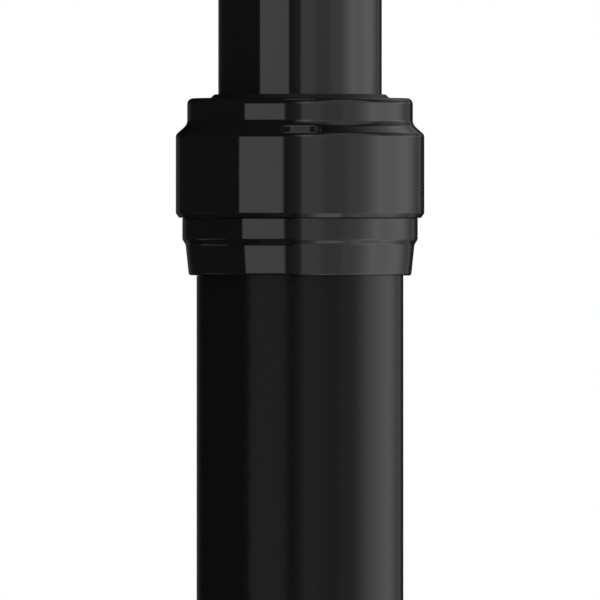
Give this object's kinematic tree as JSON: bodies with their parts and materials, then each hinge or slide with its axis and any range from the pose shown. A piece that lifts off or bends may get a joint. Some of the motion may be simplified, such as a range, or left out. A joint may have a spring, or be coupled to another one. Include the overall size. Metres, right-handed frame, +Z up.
{
  "type": "dropper seatpost",
  "caption": "Cable-actuated telescoping seatpost: keyed stanchion sliding in a sealed collar and lower tube, hydraulic cartridge inside, two-bolt rail clamp on top.",
  "frame": {"origin": "on the post's axis, at the underside of the collar, which rests on the frame's seat tube", "axes": "+Z up the post to the saddle, +X to the front of the bicycle along the saddle rails, +Y to its left"},
  "size_m": [0.0544, 0.056, 0.4379],
  "materials": {
    "gloss_black_anodised": "gloss black hard anodised",
    "polished_black_anodised": "polished, black anodised",
    "satin_black_anodised": "bead-blasted, satin black anodised",
    "black_alloy": "bead-blasted, black anodised",
    "natural_alloy": "turned",
    "black_steel": "black oxide",
    "bright_steel": "zinc plated",
    "brass": "turned",
    "bushing_plastic": "moulded",
    "black_rubber": "moulded",
    "foam": "oiled open-cell foam"
  },
  "bodies": {
    "outer": {"outer_tube": "satin_black_anodised", "collar_base": "polished_black_anodised", "collar_nut": "polished_black_anodised", "collar_o_ring": "black_rubber", "upper_bushing": "bushing_plastic", "foam_ring": "foam", "wiper_seal": "black_rubber", "tube_end_insert": "black_alloy", "bottom_bumper": "black_rubber", "actuator_body": "black_alloy", "lever_pivot_pin": "bright_steel", "pivot_clips": "bright_steel", "cartridge_rod": "natural_alloy", "needle_seal": "black_rubber", "rod_lock_nut": "bright_steel", "main_piston": "natural_alloy", "piston_seal": "black_rubber", "piston_nut": "bright_steel"},
    "stanchion": {"stanchion_tube": "gloss_black_anodised", "lower_bushing": "bushing_plastic", "anti_rotation_keys": "brass", "cartridge_cylinder": "natural_alloy", "rod_guide": "natural_alloy", "guide_o_ring": "black_rubber", "rod_seal": "black_rubber", "topout_bumper": "black_rubber", "cartridge_circlip": "bright_steel", "cartridge_cap": "natural_alloy", "cap_o_ring": "black_rubber", "gas_fill_screw": "bright_steel", "saddle_head": "black_alloy"},
    "floating_piston": {"floating_piston": "natural_alloy", "floating_piston_seal": "black_rubber"},
    "clamp": {"lower_cradle": "black_alloy", "upper_clamp": "black_alloy"},
    "front_nut": {"front_barrel_nut": "black_steel"},
    "rear_nut": {"rear_barrel_nut": "black_steel"},
    "front_bolt": {"front_clamp_bolt": "bright_steel", "front_bolt_washer": "bright_steel"},
    "rear_bolt": {"rear_clamp_bolt": "bright_steel", "rear_bolt_washer": "bright_steel"},
    "lever": {"actuator_lever": "natural_alloy"},
    "needle": {"valve_needle": "bright_steel"},
    "cable_barrel": {"cable_barrel": "brass", "cable_set_screw": "bright_steel"}
  },
  "joints": [
    {"name": "post_drop", "type": "slide", "parent": "outer", "child": "stanchion", "axis": [0, 0, 1], "range_m": [-0.125, 0], "stiffness_N_per_m": 400, "springref_m": 0.5},
    {"name": "gas_piston_shift", "type": "slide", "parent": "stanchion", "child": "floating_piston", "axis": [0, 0, 1], "range_m": [0, 0.0315]},
    {"name": "saddle_tilt", "type": "hinge", "parent": "stanchion", "child": "clamp", "pos_m": [0, 0, 0.1875], "axis": [0, 1, 0], "range_deg": [-12, 12]},
    {"name": "front_nut_swivel", "type": "hinge", "parent": "clamp", "child": "front_nut", "pos_m": [0.02, 0, 0.1875], "axis": [0, 1, 0], "range_deg": [-13, 13]},
    {"name": "rear_nut_swivel", "type": "hinge", "parent": "clamp", "child": "rear_nut", "pos_m": [-0.02, 0, 0.1875], "axis": [0, 1, 0], "range_deg": [-13, 13]},
    {"name": "front_bolt_feed", "type": "slide", "parent": "front_nut", "child": "front_bolt", "axis": [0, 0, 1], "range_m": [-0.0044, 0.0044]},
    {"name": "rear_bolt_feed", "type": "slide", "parent": "rear_nut", "child": "rear_bolt", "axis": [0, 0, 1], "range_m": [-0.0044, 0.0044]},
    {"name": "lever_pull", "type": "hinge", "parent": "outer", "child": "lever", "pos_m": [0.0035, 0, -0.22755], "axis": [0, 1, 0], "range_deg": [0, 22.5]},
    {"name": "needle_lift", "type": "slide", "parent": "outer", "child": "needle", "axis": [0, 0, 1], "range_m": [0, 0.00134], "stiffness_N_per_m": 1000, "springref_m": -0.02},
    {"name": "cable_barrel_swivel", "type": "hinge", "parent": "lever", "child": "cable_barrel", "pos_m": [0.0105, 0, -0.22755], "axis": [0, 1, 0], "range_deg": [-25, 25]}
  ],
  "couplings": [
    {"joint": "gas_piston_shift", "follows": "post_drop", "ratio": -0.25},
    {"joint": "front_nut_swivel", "follows": "saddle_tilt", "ratio": -1},
    {"joint": "rear_nut_swivel", "follows": "saddle_tilt", "ratio": -1},
    {"joint": "front_bolt_feed", "follows": "saddle_tilt", "m_per_rad": 0.02},
    {"joint": "rear_bolt_feed", "follows": "saddle_tilt", "m_per_rad": -0.02},
    {"joint": "lever_pull", "follows": "needle_lift", "rad_per_m": 285.7}
  ]
}
